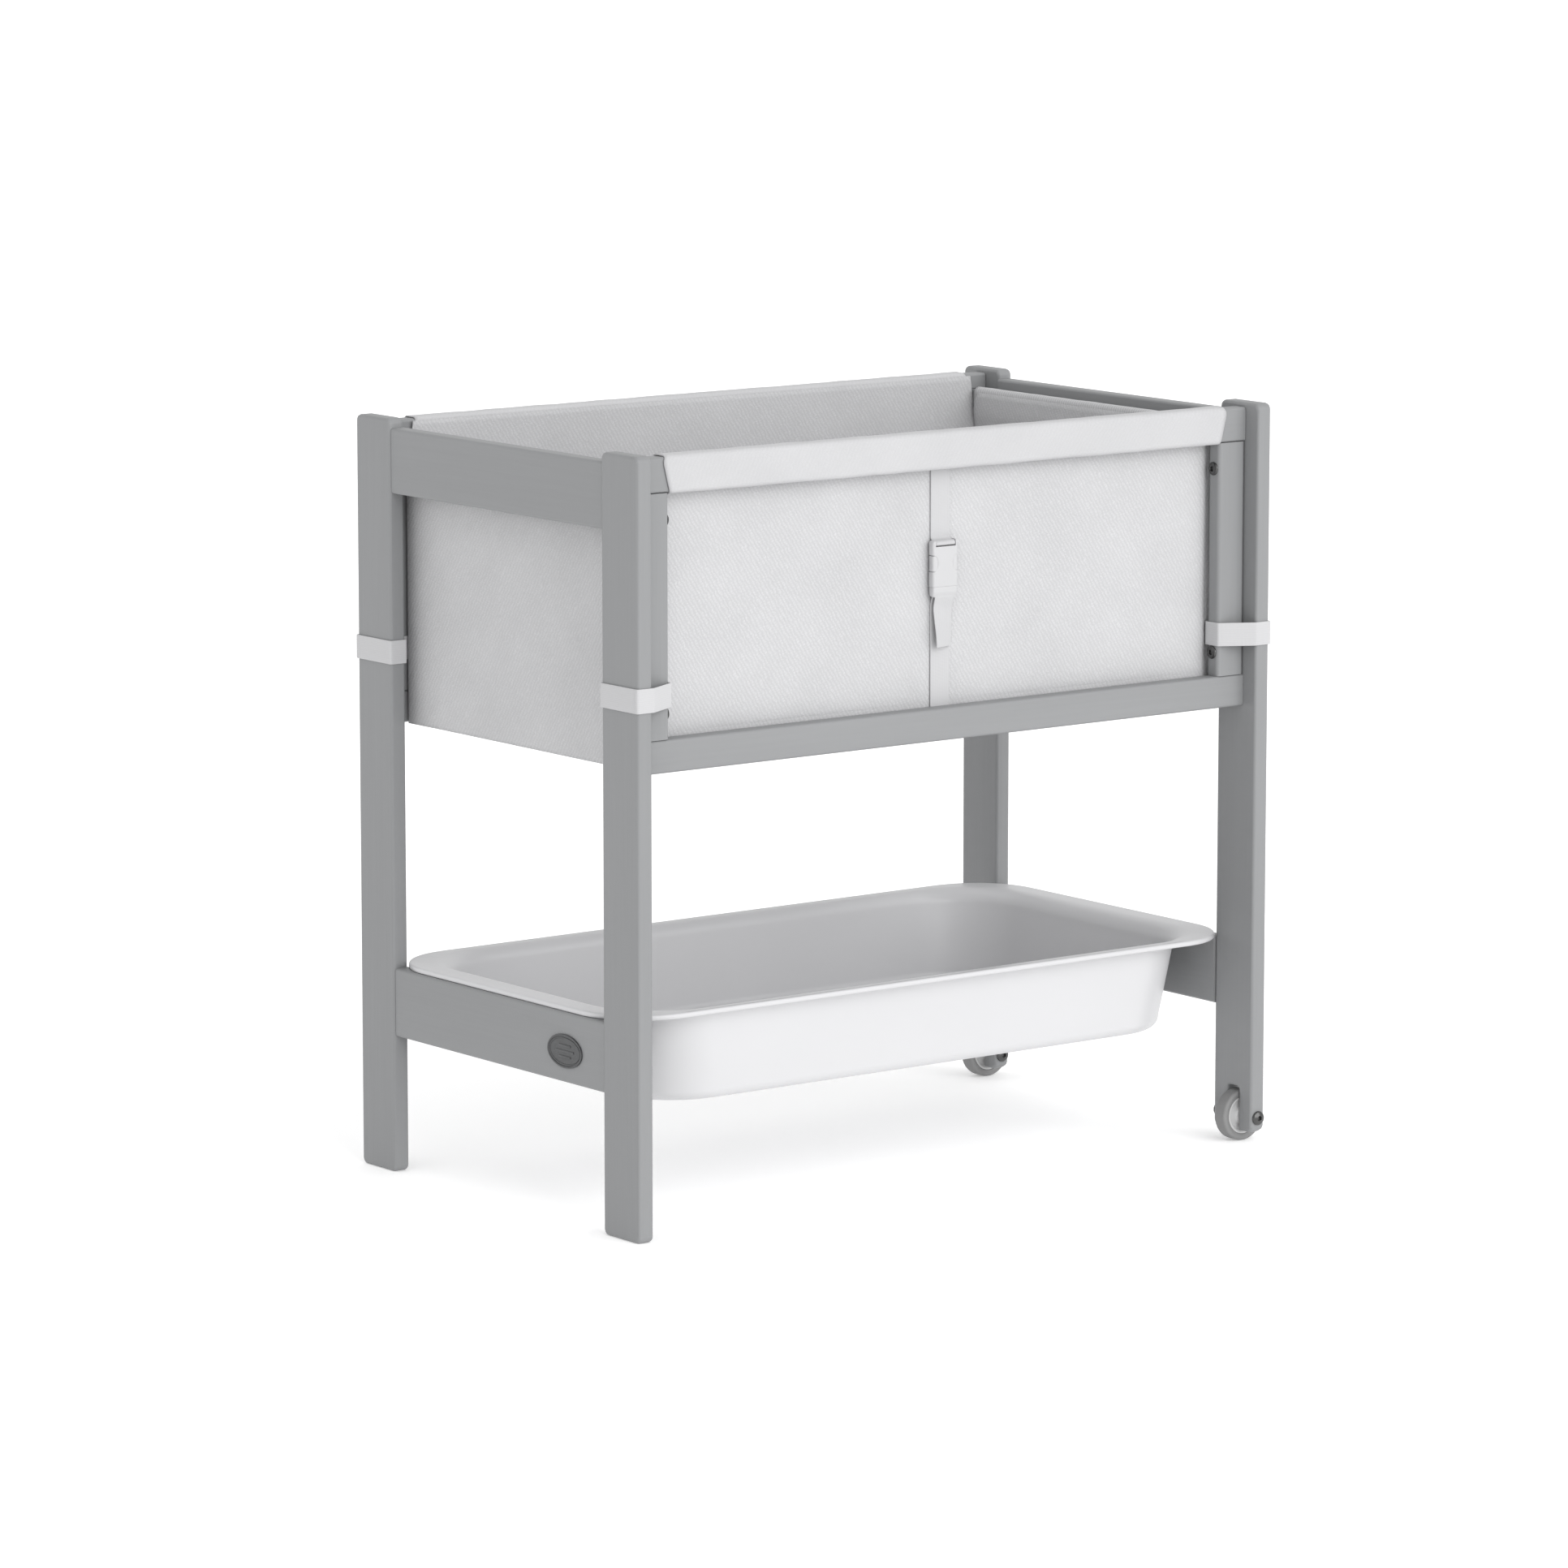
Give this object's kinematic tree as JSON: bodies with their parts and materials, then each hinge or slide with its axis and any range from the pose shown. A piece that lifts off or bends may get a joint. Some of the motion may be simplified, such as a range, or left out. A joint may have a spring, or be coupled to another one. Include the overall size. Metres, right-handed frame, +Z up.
{
  "type": "bassinet",
  "caption": "Bedside bassinet on a wooden ladder stand: fabric basket with a fold-down side and buckled strap, lift-out storage tray below, and wheels at one end.",
  "frame": {"origin": "on the floor, under the middle of the whole object's box", "axes": "+Z up, +X towards the wheel end, -Y towards the drop side with the buckle"},
  "size_m": [0.8518, 0.5084, 0.8],
  "materials": {
    "wood_paint": "satin grey wash over pine, faint grain",
    "knit_fabric": "pale grey ribbed knit",
    "mattress_fabric": "white woven cover",
    "webbing": "pale grey woven webbing",
    "buckle_plastic": "satin moulded",
    "tray_plastic": "soft gloss moulded",
    "wheel_tyre": "matte grey",
    "hub_plastic": "satin moulded",
    "dark_steel": "dark zinc",
    "badge_metal": "dark grey, satin",
    "ply_board": "bare plywood"
  },
  "bodies": {
    "stand": {"leg_front_left": "wood_paint", "leg_front_right": "wood_paint", "leg_back_left": "wood_paint", "leg_back_right": "wood_paint", "top_end_rail_left": "wood_paint", "low_end_rail_left": "wood_paint", "top_end_rail_right": "wood_paint", "low_end_rail_right": "wood_paint", "post_front_left": "wood_paint", "post_front_right": "wood_paint", "post_back_left": "wood_paint", "post_back_right": "wood_paint", "front_low_rail": "wood_paint", "back_low_rail": "wood_paint", "back_top_rail": "wood_paint", "end_bar_left": "wood_paint", "end_bar_right": "wood_paint", "base_slat_1": "wood_paint", "base_slat_2": "wood_paint", "base_slat_3": "wood_paint", "liner": "knit_fabric", "back_sleeve": "knit_fabric", "base_board": "ply_board", "mattress": "mattress_fabric", "corner_strap_front_left": "webbing", "corner_strap_front_right": "webbing", "corner_strap_back_left": "webbing", "corner_strap_back_right": "webbing", "axle_bolt_front": "dark_steel", "axle_nut_front": "dark_steel", "axle_bolt_back": "dark_steel", "axle_nut_back": "dark_steel", "post_bolt_front_left_lower": "dark_steel", "post_bolt_front_left_upper": "dark_steel", "post_bolt_front_right_lower": "dark_steel", "post_bolt_front_right_upper": "dark_steel", "post_bolt_back_left_lower": "dark_steel", "post_bolt_back_left_upper": "dark_steel", "post_bolt_back_right_lower": "dark_steel", "post_bolt_back_right_upper": "dark_steel", "badge": "badge_metal"},
    "front_wheel": {"tyre_front": "wheel_tyre", "hub_front": "hub_plastic"},
    "back_wheel": {"tyre_back": "wheel_tyre", "hub_back": "hub_plastic"},
    "storage_tray": {"tray": "tray_plastic"},
    "drop_side": {"front_top_rail": "wood_paint", "front_sleeve": "knit_fabric", "front_panel": "knit_fabric", "strap_upper": "webbing", "strap_lower": "webbing", "buckle_socket": "buckle_plastic"},
    "plug": {"buckle_plug": "buckle_plastic", "strap_tail": "webbing"},
    "arm_left": {"buckle_arm_left": "buckle_plastic"},
    "arm_right": {"buckle_arm_right": "buckle_plastic"}
  },
  "joints": [
    {"name": "front_wheel_spin", "type": "hinge", "parent": "stand", "child": "front_wheel", "pos_m": [0.39785, -0.219, 0.028], "axis": [0, 1, 0], "continuous": true},
    {"name": "back_wheel_spin", "type": "hinge", "parent": "stand", "child": "back_wheel", "pos_m": [0.39785, 0.219, 0.028], "axis": [0, 1, 0], "continuous": true},
    {"name": "tray_lift", "type": "slide", "parent": "stand", "child": "storage_tray", "axis": [0, 0, 1], "range_m": [0, 0.15]},
    {"name": "drop_side_fold", "type": "hinge", "parent": "stand", "child": "drop_side", "pos_m": [0, -0.23, 0.51], "axis": [1, 0, 0], "range_deg": [0, 175]},
    {"name": "buckle_release", "type": "slide", "parent": "drop_side", "child": "plug", "axis": [0, 0, -1], "range_m": [0, 0.028], "deforming": ["strap_lower"]},
    {"name": "arm_left_squeeze", "type": "hinge", "parent": "plug", "child": "arm_left", "pos_m": [-0.01895, -0.2154, 0.6345], "axis": [0, 1, 0], "range_deg": [0, 6], "stiffness_Nm_per_rad": 0.02},
    {"name": "arm_right_squeeze", "type": "hinge", "parent": "plug", "child": "arm_right", "pos_m": [0.00165, -0.2154, 0.6345], "axis": [0, -1, 0], "range_deg": [0, 6], "stiffness_Nm_per_rad": 0.02}
  ]
}
